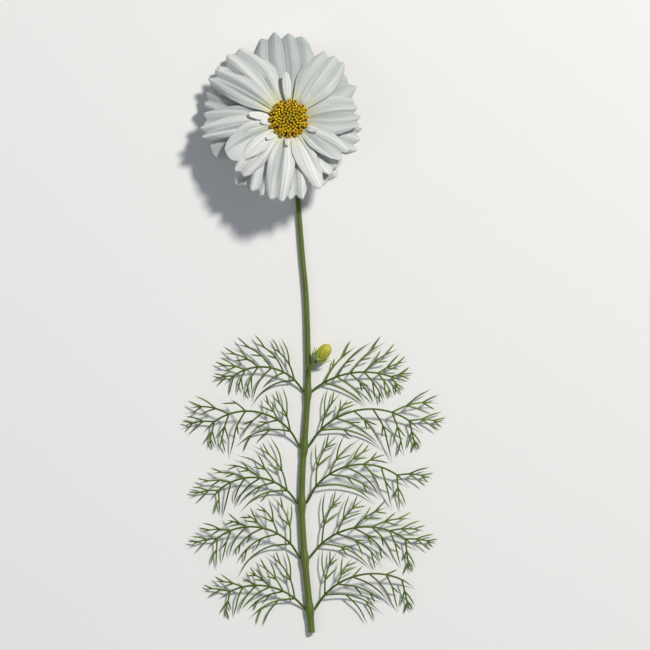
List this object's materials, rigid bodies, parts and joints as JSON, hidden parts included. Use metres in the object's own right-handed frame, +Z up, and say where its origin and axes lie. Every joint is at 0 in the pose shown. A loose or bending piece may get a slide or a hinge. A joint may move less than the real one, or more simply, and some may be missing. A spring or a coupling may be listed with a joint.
{
  "type": "cosmos flower",
  "caption": "A picked cosmos flower: one semi-double white bloom with a golden disc on a long leafy stem with feathery leaves and a bud, lying on a surface",
  "frame": {"origin": "middle of the bounding box in plan, on the surface that the flower lies on", "axes": "+Y along the stem from its cut end towards the bloom, +X to the right seen from above, +Z up, the way the bloom faces"},
  "size_m": [0.1266, 0.2866, 0.0314],
  "materials": {
    "petal": "satin",
    "floret": "satin",
    "calyx": "satin",
    "stem": "satin",
    "leaf": "satin",
    "bud": "satin"
  },
  "bodies": {
    "root": {"ray_petals": "petal", "disc_florets": "floret", "calyx": "calyx", "stem": "stem", "bud": "bud", "bud_calyx": "calyx", "leaf_1_left": "leaf", "leaf_1_right": "leaf", "leaf_2_left": "leaf", "leaf_2_right": "leaf", "leaf_3_left": "leaf", "leaf_3_right": "leaf", "leaf_4_left": "leaf", "leaf_4_right": "leaf", "leaf_5_left": "leaf", "leaf_5_right": "leaf"}
  },
  "joints": []
}
